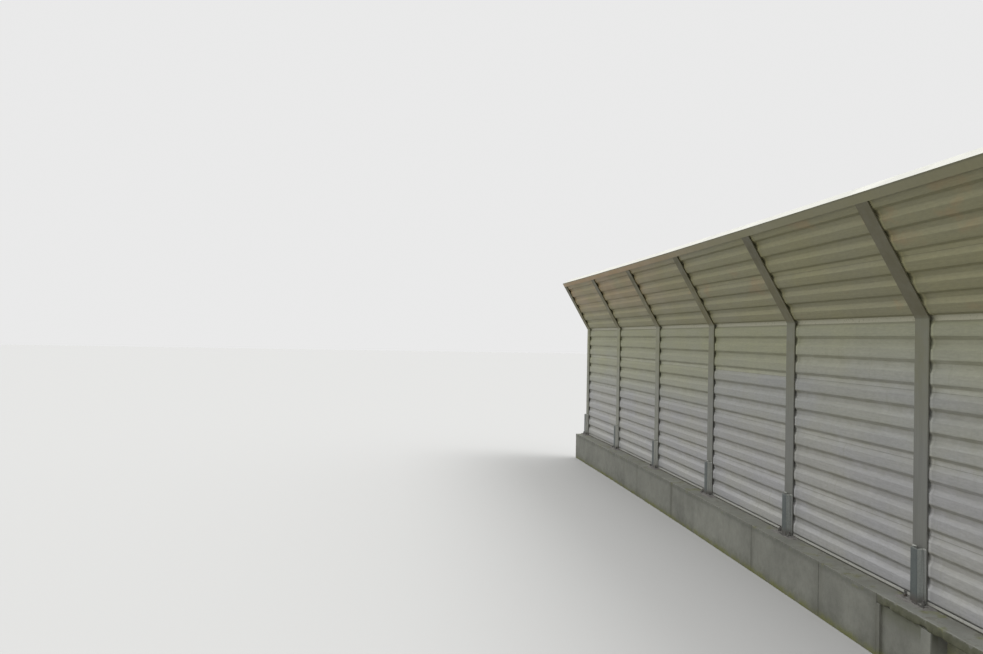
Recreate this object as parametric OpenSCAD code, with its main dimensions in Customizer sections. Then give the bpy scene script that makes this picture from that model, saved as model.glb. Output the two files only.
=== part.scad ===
// Railway noise barrier, six bays of corrugated sheet between cranked H posts on a concrete plinth.
// The track side faces -Y. Chainage runs along +X from the first post, and Z is zero under the plinth.

/* [Layout] */
// Centre distance between neighbouring posts
bay_len = 2500; // [2000:10:3000]
// Turn of the wall at each post, towards the track side, in degrees
bay_turn = 0.42; // [0:0.01:1]
// Height of the fold in the posts above the top of the plinth
wall_h = 2450; // [1800:10:3200]
// Slope length of the leaning head, from the fold to the top of the cap
head_len = 1226; // [700:2:1700]
// Lean of the head from the vertical, towards the track side, in degrees
head_lean = 30; // [10:1:40]

/* [Posts] */
// Width of the post flanges
post_w = 200; // [150:5:300]
// Depth of the post section across its flanges
post_d = 200; // [160:5:300]
// Thickness of the post flanges
flange_t = 12; // [8:0.5:16]
// Thickness of the post web
web_t = 8; // [5:0.5:16]
// Radius of the root fillets between web and flanges
root_r = 13; // [8:0.5:15]

/* [Sheets] */
// Thickness of the corrugated sheet
sheet_t = 1.2; // [0.8:0.1:3]
// Distance from one rib to the next
rib_pitch = 204; // [180:1:260]
// Depth of the ribs
rib_depth = 25; // [10:1:35]
// Width of the flat crests that face the track
crest_w = 84; // [60:1:100]
// Height of the steep slope under each crest; the slope above takes what is left of the pitch
under_run = 30; // [20:1:40]
// Width of the flat bottom of the grooves
groove_w = 44; // [20:1:55]
// Distance from the front of the posts back to the crests
sheet_setback = 20; // [17:1:34]
// Clearance between the end of a sheet and the web of its post
sheet_end_gap = 16; // [10:1:30]
// Distance from the fold down to the lower end of the wall sheet's top groove
top_groove = 21; // [16:1:60]
// Distance from the fold up to the middle of the first under-slope of the head sheet
head_rib_s = 21; // [21:1:60]

/* [Fold trim] */
// Thickness of the bent strip at the fold
trim_t = 1.2; // [0.8:0.1:2]
// Lap of the strip over the top groove of the wall sheet
trim_lap = 10; // [6:1:14]
// Gap between an edge of the strip and the bend of the sheet beside it
trim_gap = 1; // [0.5:0.5:3]

/* [Cap] */
// Thickness of the folded cap
cap_t = 2; // [1:0.5:4]
// Depth of the cap legs along the head
cap_leg = 92; // [50:1:150]

/* [Foot channel] */
// Thickness of the foot channel
channel_t = 1.5; // [1:0.5:4]
// Height of its front lip
channel_lip = 25; // [15:1:32]
// Height of its back lip
channel_back = 40; // [20:1:60]
// Clearance inside the channel on each side of the sheet
channel_gap = 1; // [0.5:0.5:3]

/* [Base plates] */
// Length of a base plate along the wall
plate_l = 340; // [240:5:390]
// Width of a base plate across the wall
plate_w = 340; // [340:5:400]
// Thickness of a base plate
plate_t = 16; // [8:1:30]

/* [Shoes] */
// Top of the shoe channels above the plinth
shoe_top = 480; // [200:1:700]
// Width of a shoe channel across its back
shoe_w = 100; // [60:1:140]
// Distance that a shoe channel stands out from the flange
shoe_d = 60; // [40:1:68]
// Wall thickness of a shoe channel
shoe_t = 5; // [3:0.5:7]
// Outer radius of the bends of a shoe channel
shoe_r = 8; // [8:0.5:12]
// Distance from the centre of the flange to the centre of the shoe
shoe_shift = 13; // [0:1:20]

/* [Cleats] */
// Leg length of the cleat angles behind the sheets
cleat_leg = 50; // [30:1:70]
// Thickness of the cleat angles
cleat_t = 5; // [3:0.5:8]
// Distance that a cleat stops short of the fold, the cap and the foot channel
cleat_stop = 40; // [10:5:120]

/* [Channel clips] */
// Length of a clip along the wall
clip_l = 40; // [20:1:80]
// Reach of a clip in front of the foot channel
clip_reach = 34; // [20:1:60]
// Distance from a post back to the clip beside it
clip_back = 220; // [205:5:400]

/* [Plinth] */
// Height of the plinth
plinth_h = 560; // [300:10:900]
// Width of the ledge in front of the posts
ledge_front = 215; // [110:5:400]
// Width of the ledge behind the posts
ledge_back = 185; // [110:5:400]
// Length of plinth beyond the centre of each end post
plinth_over = 200; // [200:5:300]
// Distances from posts 3, 4, 5 and 6 back to the pour joints
pour_back = [380, 1030, 520, 1355]; // [300:5:1700]
// Chamfer of the pour joints
pour_chamfer = 8; // [2:1:20]
// Distance from post 6 back to the end of the coping
coping_back = 290; // [200:10:500]
// Thickness of the coping
coping_t = 85; // [60:5:160]
// Recess of the piers below the coping
pier_recess = 25; // [10:5:60]
// Recess of the infill wall between the piers
infill_recess = 145; // [80:5:180]
// Distance from a post to the side of its pier
pier_side = 500; // [350:10:700]
// Width of the strip at that side that is flush with the edge of the coping
quoin_w = 130; // [60:5:200]
// Distance from the end of the coping to the step where the first pier stands back
pier_start = 50; // [20:5:120]

/* [Hidden] */
BAYS = 6;
MID = BAYS / 2;
ARC = 4;

// Faces across the wall, measured from the centre line of the posts
front_y = -post_d / 2;
crest_y = front_y + sheet_setback;
groove_y = crest_y + rib_depth;
sheet_back_y = groove_y + sheet_t;
plinth_front = front_y - ledge_front;
plinth_rear = post_d / 2 + ledge_back;

// Heights above the underside of the plinth
plate_top = plinth_h + plate_t;
fold_z = plinth_h + wall_h;
trim_foot = fold_z - top_groove + trim_gap;
wall_sheet_top = trim_foot + trim_lap;
channel_floor = plate_top + channel_t;

// One wave of the sheet: under-slope, crest, upper slope, groove
up_run = rib_pitch - crest_w - groove_w - under_run;
under_shift = sheet_t * tan(atan(rib_depth / under_run) / 2);
up_shift = sheet_t * tan(atan(rib_depth / up_run) / 2);
wall_rib_z = fold_z - top_groove - up_run - crest_w - under_run / 2;
sheet_end = web_t / 2 + sheet_end_gap;
sheet_len = bay_len - 2 * sheet_end;

// Direction up the head, and the direction from its front face to its back
head_up = [-sin(head_lean), cos(head_lean)];
head_in = [cos(head_lean), sin(head_lean)];
post_head_len = head_len - cap_t;

// Plan of the wall. A bay keeps its straight chord, and the posts stand on the bisectors.
function heading(bay) = -(bay - MID + 0.5) * bay_turn;
function chord(bay) = bay_len * [cos(heading(bay)), sin(heading(bay))];
function post_pos(j) =
    j == MID ? [0, 0] : j > MID ? post_pos(j - 1) + chord(j - 1) : post_pos(j + 1) - chord(j);
function post_turn(j) = -(j - MID) * bay_turn;

// A point at a chainage along the wall and an offset across it
function bay_at(chain) = min(BAYS - 1, max(0, floor(chain / bay_len)));
function wall_point(chain, y) =
    let (b = bay_at(chain), a = heading(b), x = chain - b * bay_len)
    post_pos(b) + [x * cos(a) - y * sin(a), x * sin(a) + y * cos(a)];
function post_point(j, y) =
    let (a = post_turn(j), r = y / cos(bay_turn / 2))
    post_pos(j) + [-r * sin(a), r * cos(a)];
function inner_posts(c0, c1) = [for (j = [1:BAYS - 1]) if (j * bay_len > c0 && j * bay_len < c1) j];
function reversed(v) = [for (i = [len(v) - 1:-1:0]) v[i]];

// Heights of the bends of one wave above the middle of its under-slope.
// At the back of the sheet (back = 1) the crest is narrower and the groove wider.
function wave_bends(back) = [
    -under_run / 2 + back * under_shift,
    under_run / 2 + back * under_shift,
    under_run / 2 + crest_w - back * up_shift,
    under_run / 2 + crest_w + up_run - back * up_shift
];

// Depth of the sheet surface behind the crest at a height u above an under-slope's middle
function wave_depth(u, back) =
    let (b = wave_bends(back), v = u - floor((u - b[0]) / rib_pitch) * rib_pitch)
    lookup(v, [[b[0], rib_depth], [b[1], 0], [b[2], 0], [b[3], rib_depth], [b[0] + rib_pitch, rib_depth]]);

// Points of one face of the sheet from height z0 to z1, with an under-slope at height rib_z
function wave_face(z0, z1, rib_z, back) =
    let (
        first = floor((z0 - rib_z) / rib_pitch) - 1,
        last = ceil((z1 - rib_z) / rib_pitch) + 1,
        bends = [for (n = [first:last], b = wave_bends(back)) rib_z + n * rib_pitch + b],
        inside = [for (z = bends) if (z > z0 + 0.01 && z < z1 - 0.01) z]
    )
    [for (z = concat([z0], inside, [z1])) [wave_depth(z - rib_z, back), z]];

function sheet_outline(z0, z1, rib_z) = concat(
    wave_face(z0, z1, rib_z, 0),
    reversed([for (p = wave_face(z0, z1, rib_z, 1)) p + [sheet_t, 0]])
);

// A point on the leaning head, d behind its front face and s up from the fold
function head_point(d, s) = [front_y, fold_z] + d * head_in + s * head_up;

module at_post(j)
    translate(post_pos(j)) rotate([0, 0, post_turn(j)]) children();

module in_bay(bay)
    translate(post_pos(bay)) rotate([0, 0, heading(bay)]) children();

// Frame of the head of a post or bay: Y into the wall from the front face, Z up the slope
module on_head()
    translate([0, front_y, fold_z]) rotate([head_lean, 0, 0]) children();

// An outline across the wall, drawn as (Y, Z), carried from x0 along the wall
module run(x0, length)
    translate([x0, 0, 0]) rotate([90, 0, 90]) linear_extrude(length) children();

// Quarter of a root fillet's arc, from the web to a flange, on the sides named by sx and sy
function root_arc(sx, sy) =
    let (cx = web_t / 2 + root_r, cy = post_d / 2 - flange_t - root_r)
    [for (i = [0:ARC]) [sx * (cx - root_r * cos(90 * i / ARC)), sy * (cy + root_r * sin(90 * i / ARC))]];

// One side of the rolled H section, from its front to its back
function section_side(sx) = concat(
    [[sx * post_w / 2, -post_d / 2], [sx * post_w / 2, flange_t - post_d / 2]],
    reversed(root_arc(sx, -1)),
    root_arc(sx, 1),
    [[sx * post_w / 2, post_d / 2 - flange_t], [sx * post_w / 2, post_d / 2]]
);

// The section cut into convex cells between its two sides: flanges, root fillets and web
function section_cells(n) = concat(
    [[0, 1, 2], [0, 2, n - 3, n - 1], [n - 1, n - 3, n - 2]],
    [for (i = [2:2 * ARC + 2]) [i, i + 1, n - 2 - i, n - 1 - i]],
    let (i = 2 * ARC + 3)
        [[i, i + 1, i + 2], [i, i + 2, n - 3 - i, n - 1 - i], [n - 1 - i, n - 3 - i, n - 2 - i]]
);

// Cranked post: its section is swept up to the mitre plane, and on from there up the head
module post(j) {
    section = concat(section_side(1), reversed(section_side(-1)));
    n = len(section);
    foot = [for (p = section) [p.x, p.y, plate_top]];
    bend = [for (p = section) [p.x, p.y, fold_z + (p.y - front_y) * tan(head_lean / 2)]];
    top = [for (p = section) let (h = head_point(p.y - front_y, post_head_len)) [p.x, h.x, h.y]];
    sides = [
        for (ring = [0, n], i = [0:n - 1])
            [ring + i, ring + n + i, ring + n + (i + 1) % n, ring + (i + 1) % n]
    ];
    foot_end = section_cells(n);
    top_end = [for (cell = section_cells(n)) [for (i = reversed(cell)) 2 * n + i]];
    color("slategray")
    at_post(j)
        polyhedron(points = concat(foot, bend, top), faces = concat(foot_end, sides, top_end));
}

// Plan of a bent channel that opens towards the flange: its outer face from leg to leg, then the inner one
function channel_face(half, front, radius) = concat(
    [[-half, front_y]],
    [for (i = [0:ARC]) [-half, front] + radius * [1 - cos(90 * i / ARC), 1 - sin(90 * i / ARC)]],
    [for (i = [ARC:-1:0]) [half, front] + radius * [cos(90 * i / ARC) - 1, 1 - sin(90 * i / ARC)]],
    [[half, front_y]]
);

// Shoe: a channel welded upright to the front flange, standing on the base plate
module shoe(j)
    color("lightslategray")
    at_post(j)
        translate([shoe_shift, 0, plate_top])
            linear_extrude(plinth_h + shoe_top - plate_top)
                polygon(concat(
                    channel_face(shoe_w / 2, front_y - shoe_d, shoe_r),
                    reversed(channel_face(shoe_w / 2 - shoe_t, front_y - shoe_d + shoe_t, shoe_r - shoe_t))
                ));

module base_plates()
    color("dimgray")
    for (j = [0:BAYS])
        at_post(j)
            translate([-plate_l / 2, -plate_w / 2, plinth_h])
                cube([plate_l, plate_w, plate_t]);

module wall_sheet(bay)
    color("lightgray")
    in_bay(bay)
        run(sheet_end, sheet_len)
            translate([crest_y, 0])
                polygon(sheet_outline(channel_floor, wall_sheet_top, wall_rib_z));

module head_sheet(bay)
    color("silver")
    in_bay(bay)
        on_head()
            run(sheet_end, sheet_len)
                translate([sheet_setback, 0])
                    polygon(sheet_outline(0, post_head_len, head_rib_s));

// Bent strip that closes the fold: it lies in the top groove of the wall and the first of the head
module fold_trims() {
    mitre = tan(head_lean / 2);
    back_d = sheet_setback + rib_depth;
    front_d = back_d - trim_t;
    head_end = head_rib_s - under_run / 2 - trim_gap;
    color("whitesmoke")
    for (bay = [0:BAYS - 1])
        in_bay(bay)
            run(sheet_end, sheet_len)
                polygon([
                    [front_y + front_d, trim_foot],
                    [front_y + back_d, trim_foot],
                    [front_y + back_d, fold_z + back_d * mitre],
                    head_point(back_d, head_end),
                    head_point(front_d, head_end),
                    [front_y + front_d, fold_z + front_d * mitre]
                ]);
}

// Folded cap over the tops of the posts, mitred at each post
module cap(bay) {
    x0 = bay == 0 ? -post_w / 2 : 0;
    x1 = bay == BAYS - 1 ? bay_len + post_w / 2 : bay_len;
    outer_d = post_d + cap_t;
    color("gainsboro")
    intersection() {
        in_bay(bay)
            on_head()
                run(x0 - post_w, x1 - x0 + 2 * post_w)
                    polygon([
                        [-cap_t, head_len - cap_leg],
                        [0, head_len - cap_leg],
                        [0, post_head_len],
                        [post_d, post_head_len],
                        [post_d, head_len - cap_leg],
                        [outer_d, head_len - cap_leg],
                        [outer_d, head_len],
                        [-cap_t, head_len]
                    ]);
        linear_extrude(fold_z + 2 * head_len)
            bay_sector(bay, 2 * head_len);
    }
}

// Plan of a bay between the bisectors of its posts; an end bay reaches the end post's flange edge
module bay_sector(bay, reach) {
    low = [for (y = [-reach, reach]) post_side(bay, bay == 0 ? -post_w / 2 : 0, y)];
    high = [for (y = [reach, -reach]) post_side(bay + 1, bay == BAYS - 1 ? post_w / 2 : 0, y)];
    polygon(concat(low, high));
}
function post_side(j, x, y) =
    let (a = post_turn(j))
    post_pos(j) + [x * cos(a) - y * sin(a), x * sin(a) + y * cos(a)];

// Channel that holds the foot of the sheets, lying on the base plates
module foot_channels() {
    outer_f = crest_y - channel_gap - channel_t;
    outer_b = sheet_back_y + channel_gap + channel_t;
    color("whitesmoke")
    for (bay = [0:BAYS - 1])
        in_bay(bay)
            run(sheet_end, sheet_len)
                polygon([
                    [outer_f, plate_top],
                    [outer_b, plate_top],
                    [outer_b, plate_top + channel_back],
                    [outer_b - channel_t, plate_top + channel_back],
                    [outer_b - channel_t, channel_floor],
                    [outer_f + channel_t, channel_floor],
                    [outer_f + channel_t, plate_top + channel_lip],
                    [outer_f, plate_top + channel_lip]
                ]);
}

// Clip angles that tie the foot channel down to the plinth, one behind each post but the first
module channel_clips() {
    face = crest_y - channel_gap - channel_t;
    leg_t = channel_t * 2;
    color("dimgray")
    for (bay = [0:BAYS - 1])
        in_bay(bay)
            run(bay_len - clip_back - clip_l / 2, clip_l)
                polygon([
                    [face - clip_reach, plinth_h],
                    [face, plinth_h],
                    [face, plate_top + channel_lip],
                    [face - leg_t, plate_top + channel_lip],
                    [face - leg_t, plinth_h + leg_t],
                    [face - clip_reach, plinth_h + leg_t]
                ]);
}

// Plan of a cleat angle: one leg on the web of the post, the other against the back of the sheet
module cleat_plan(side, face)
    polygon([
        [side * web_t / 2, face],
        [side * (web_t / 2 + cleat_leg), face],
        [side * (web_t / 2 + cleat_leg), face + cleat_t],
        [side * (web_t / 2 + cleat_t), face + cleat_t],
        [side * (web_t / 2 + cleat_t), face + cleat_leg],
        [side * web_t / 2, face + cleat_leg]
    ]);

module sheet_cleats() {
    depth = sheet_setback + rib_depth + sheet_t;
    wall_z0 = plate_top + channel_back + cleat_stop;
    head_s0 = depth * tan(head_lean / 2) + cleat_stop;
    color("slategray")
    for (j = [0:BAYS], side = [-1, 1])
        if (j + side >= 0 && j + side <= BAYS)
            at_post(j) {
                translate([0, front_y, wall_z0])
                    linear_extrude(fold_z - cleat_stop - wall_z0)
                        cleat_plan(side, depth);
                on_head()
                    translate([0, 0, head_s0])
                        linear_extrude(head_len - cap_leg - cleat_stop - head_s0)
                            cleat_plan(side, depth);
            }
}

// Front line of a stretch of concrete in plan, bent at the posts and chamfered at both ends
function front_line(c0, c1, y, chamfer) = concat(
    [wall_point(c0, y + chamfer), wall_point(c0 + chamfer, y)],
    [for (j = inner_posts(c0, c1)) post_point(j, y)],
    [wall_point(c1 - chamfer, y), wall_point(c1, y + chamfer)]
);

// Its back line, drawn the other way
function back_line(c0, c1, y) = concat(
    [wall_point(c1, y)],
    reversed([for (j = inner_posts(c0, c1)) post_point(j, y)]),
    [wall_point(c0, y)]
);

// Plan of a stretch of concrete that follows the wall
module wall_strip(c0, c1)
    polygon(concat(front_line(c0, c1, plinth_front, pour_chamfer), back_line(c0, c1, plinth_rear)));

coping_start = (BAYS - 1) * bay_len - coping_back;
wall_end = BAYS * bay_len + plinth_over;
pours = [
    -plinth_over,
    2 * bay_len - pour_back[0],
    3 * bay_len - pour_back[1],
    4 * bay_len - pour_back[2],
    5 * bay_len - pour_back[3],
    coping_start
];

module plinth(n)
    color("darkgray")
    linear_extrude(plinth_h)
        wall_strip(pours[n - 1], pours[n]);

// The last stretch lies under a coping: a pier below each post, with an infill wall between them.
// A pier stands back from the coping, except for a flush strip at its side.
module coped_plinth() {
    pier_front = plinth_front + pier_recess;
    infill_front = plinth_front + infill_recess;
    first = (BAYS - 1) * bay_len;
    last = BAYS * bay_len;
    color("darkgray")
    linear_extrude(plinth_h - coping_t)
        polygon(concat(
            [
                wall_point(coping_start, plinth_front),
                wall_point(coping_start + pier_start, plinth_front),
                wall_point(coping_start + pier_start, pier_front),
                post_point(BAYS - 1, pier_front),
                wall_point(first + pier_side - quoin_w, pier_front),
                wall_point(first + pier_side - quoin_w, plinth_front),
                wall_point(first + pier_side, plinth_front),
                wall_point(first + pier_side, infill_front),
                wall_point(last - pier_side, infill_front),
                wall_point(last - pier_side, plinth_front),
                wall_point(last - pier_side + quoin_w, plinth_front),
                wall_point(last - pier_side + quoin_w, pier_front),
                wall_point(wall_end - pour_chamfer, pier_front),
                wall_point(wall_end, pier_front + pour_chamfer)
            ],
            back_line(coping_start, wall_end, plinth_rear)
        ));
}

module coping()
    color("gray")
    translate([0, 0, plinth_h - coping_t])
        linear_extrude(coping_t)
            wall_strip(coping_start, wall_end);

for (n = [1:5]) plinth(n);
coped_plinth();  // plinth_6
coping();
base_plates();
channel_clips();
foot_channels();
sheet_cleats();
fold_trims();
for (n = [1:7]) post(n - 1);
for (n = [1:7]) shoe(n - 1);
for (n = [1:6]) wall_sheet(n - 1);
for (n = [1:6]) head_sheet(n - 1);
for (n = [1:6]) cap(n - 1);
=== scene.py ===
"""Looks of the noise barrier: lapped sheets, shoes, bolts, welds, mortar and weathered finishes."""
import math
import random

import bpy
from mathutils import Matrix, Vector, noise


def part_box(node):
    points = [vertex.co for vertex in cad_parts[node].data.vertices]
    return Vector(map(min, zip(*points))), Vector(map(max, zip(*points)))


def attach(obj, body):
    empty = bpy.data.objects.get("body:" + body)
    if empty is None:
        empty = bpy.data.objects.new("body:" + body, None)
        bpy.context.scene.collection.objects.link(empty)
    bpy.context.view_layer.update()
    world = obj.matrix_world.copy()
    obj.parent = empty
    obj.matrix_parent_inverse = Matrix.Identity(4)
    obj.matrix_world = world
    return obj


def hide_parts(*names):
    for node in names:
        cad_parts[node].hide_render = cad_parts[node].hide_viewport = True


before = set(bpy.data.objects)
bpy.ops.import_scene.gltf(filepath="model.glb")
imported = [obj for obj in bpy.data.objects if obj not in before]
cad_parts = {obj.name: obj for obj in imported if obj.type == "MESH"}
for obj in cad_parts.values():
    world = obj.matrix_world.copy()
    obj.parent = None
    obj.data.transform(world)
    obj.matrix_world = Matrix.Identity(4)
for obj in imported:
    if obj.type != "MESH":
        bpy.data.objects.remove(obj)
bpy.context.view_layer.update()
random.seed(7)

# Layout of the wall, in metres and radians, as the solids have it
BAYS = 6
MID = BAYS // 2
BAY_LEN = 2.5
BAY_TURN = math.radians(0.42)
PLINTH_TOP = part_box("coping")[1].z
PLATE_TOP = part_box("base_plates")[1].z
WALL_H = 2.45
FOLD_Z = PLINTH_TOP + WALL_H
TRIM_FOOT = WALL_H - 0.02
HEAD_LEN = 1.226
HEAD_LEAN = math.radians(30)
CAP_T = 0.002

# Posts
POST_W = 0.2
POST_D = 0.2
FLANGE_T = 0.012
WEB_T = 0.008
FRONT_Y = -POST_D / 2

# Sheets, with the ribs that start each leaf and the laps between its rolled widths
SHEET_T = 0.0012
RIB_PITCH = 0.204
RIB_DEPTH = 0.025
CREST_W = 0.084
GROOVE_W = 0.044
UNDER_RUN = 0.03
UP_RUN = RIB_PITCH - CREST_W - GROOVE_W - UNDER_RUN
SHEET_SETBACK = 0.02
CREST_Y = FRONT_Y + SHEET_SETBACK
SHEET_END = WEB_T / 2 + 0.016
SHEET_LEN = BAY_LEN - 2 * SHEET_END
CHANNEL_T = 0.0015
WALL_FOOT = PLATE_TOP + CHANNEL_T
WALL_TOP = FOLD_Z - 0.01
WALL_RIB_Z = FOLD_Z - 0.021 - UP_RUN - CREST_W - UNDER_RUN / 2
HEAD_RIB_S = 0.021
BEND_RADIUS = 0.004
BEND_STEPS = 3
LONGEST_STEP = 0.045
STATIONS = 26
WAVINESS = 0.0011
LAP_LIFT = 0.0014
LAP_COVER = 0.04
LAP_BELOW_RIB = UNDER_RUN / 2 + GROOVE_W - 0.002
RIBS_A_PANEL = 3

# Shoes
SHOE_TOP = PLINTH_TOP + 0.48
SHOE_W = 0.1
SHOE_D = 0.06
SHOE_T = 0.005
SHOE_R = 0.008
SHOE_SHIFT = 0.013
SHOE_LIP_T = 0.004
SHOE_REACH = 0.096

# Plinth; pour joints are chainages along the wall from the first post. The coping reaches back from the sixth
PLINTH_FRONT = 0.315
PLINTH_BACK = 0.285
PLINTH_OVER = 0.2
COPING_REACH = 0.29
COPING_START = (BAYS - 1) * BAY_LEN - COPING_REACH
COPING_T = 0.085
POURS = (4.62, 6.47, 9.48, 11.145)
JOINTS = POURS + (COPING_START,)
SEAL_INSET = 0.0035
SEAL_W = 0.022
SEAL_FROM_POST = 0.172

# Camera, worked out from the photograph
LENS = 30.93
EYE_BELOW_FOLD = 0.2318
EYE_BACK = 6.7875
EYE_OUT = 4.4443
VIEW_YAW = math.radians(5.838)
VIEW_UP = math.radians(0.7316)
VIEW_ROLL = math.radians(1.0)

# Floor and light. The colours and strengths called SHOWN are those that the camera and reflections see
FLOOR_REACH = 150.0
FLOOR_LIT = (0.41, 0.4, 0.38, 1)
FLOOR_SHOWN = (0.38, 0.38, 0.375, 1)
SKY_LOW = 0.7
SKY_HIGH = 2.3
SKY_SHOWN = 0.82
LAMP_ENERGY = 1.2
LAMP_SPREAD = math.radians(30)
LAMP_AIM = (-0.25, -0.55, -1.0)


def srgb(red, green, blue):
    """Linear colour of an sRGB colour given in 0 to 255."""
    def linear(c):
        c /= 255
        return c / 12.92 if c <= 0.04045 else ((c + 0.055) / 1.055) ** 2.4
    return (linear(red), linear(green), linear(blue), 1.0)


# Dirt and growth on the coated steel, with painted shade under the fold trim, on the slopes under the crests,
# along the lap edges and under the caps
RUST_DUST = srgb(130, 106, 76)
RUST_SPECK = srgb(92, 62, 44)
DRIP_FILM = srgb(108, 107, 88)
UNDERSLOPE_SHADE = srgb(98, 97, 74)
TRIM_SHADE = srgb(94, 93, 72)
GROOVE_GRIME = srgb(100, 98, 80)
LAP_DIRT_AND_SHADOW = srgb(70, 68, 54)
CAP_SHADE = srgb(60, 58, 42)

# The caps: underside near and far, a painted shadow line at the top of the front edge, and the top painted
# pale as a highlight
CAP_UNDER = srgb(108, 106, 81)
CAP_FAR = srgb(131, 111, 79)
CAP_EDGE_SHADE = srgb(84, 83, 62)
CAP_TOP_LIT = srgb(190, 190, 182)

# The shoes: paler faces at the far end, the side faces painted as lit, the rim and the dirty foot
ZINC_FAR_SIDE_LIT = srgb(170, 171, 165)
ZINC_FAR_LIP = srgb(150, 151, 146)
ZINC_RIM = srgb(172, 174, 168)
ZINC_FOOT = srgb(88, 80, 74)

# Dirt and growth on the concrete, and painted shade under the lip of the coping
RECESS_FILM = srgb(118, 119, 90)
DRIP_DIRT = srgb(82, 82, 74)
LIP_SHADE = srgb(80, 82, 66)
LEDGE_DIRT = srgb(92, 90, 78)
MOSS_DARK = srgb(80, 82, 50)
MOSS_PALE = srgb(112, 114, 70)
LICHEN = srgb(106, 109, 74)
PIT = srgb(62, 62, 58)
FILLER_DUST = srgb(96, 94, 82)


def heading(bay):
    return -(bay - MID + 0.5) * BAY_TURN


def chord(bay):
    return Vector((math.cos(heading(bay)), math.sin(heading(bay)), 0)) * BAY_LEN


def post_spot(j):
    spot = Vector((0, 0, 0))
    for bay in range(MID, j):
        spot += chord(bay)
    for bay in range(j, MID):
        spot -= chord(bay)
    return spot


def post_frame(j):
    """Frame of a post: X along the wall, Y towards its back, Z up."""
    return Matrix.Translation(post_spot(j)) @ Matrix.Rotation(-(j - MID) * BAY_TURN, 4, "Z")


def bay_frame(bay):
    return Matrix.Translation(post_spot(bay)) @ Matrix.Rotation(heading(bay), 4, "Z")


def wall_place(chain):
    """Frame of a point along the wall, at its chainage from the first post."""
    bay = min(BAYS - 1, max(0, math.floor(chain / BAY_LEN)))
    return bay_frame(bay) @ Matrix.Translation((chain - bay * BAY_LEN, 0, 0))


# Frame of the leaning head inside a post's or bay's frame: Y into the wall, Z up the slope
HEAD = Matrix.Translation((0, FRONT_Y, FOLD_Z)) @ Matrix.Rotation(HEAD_LEAN, 4, "X")


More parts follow.
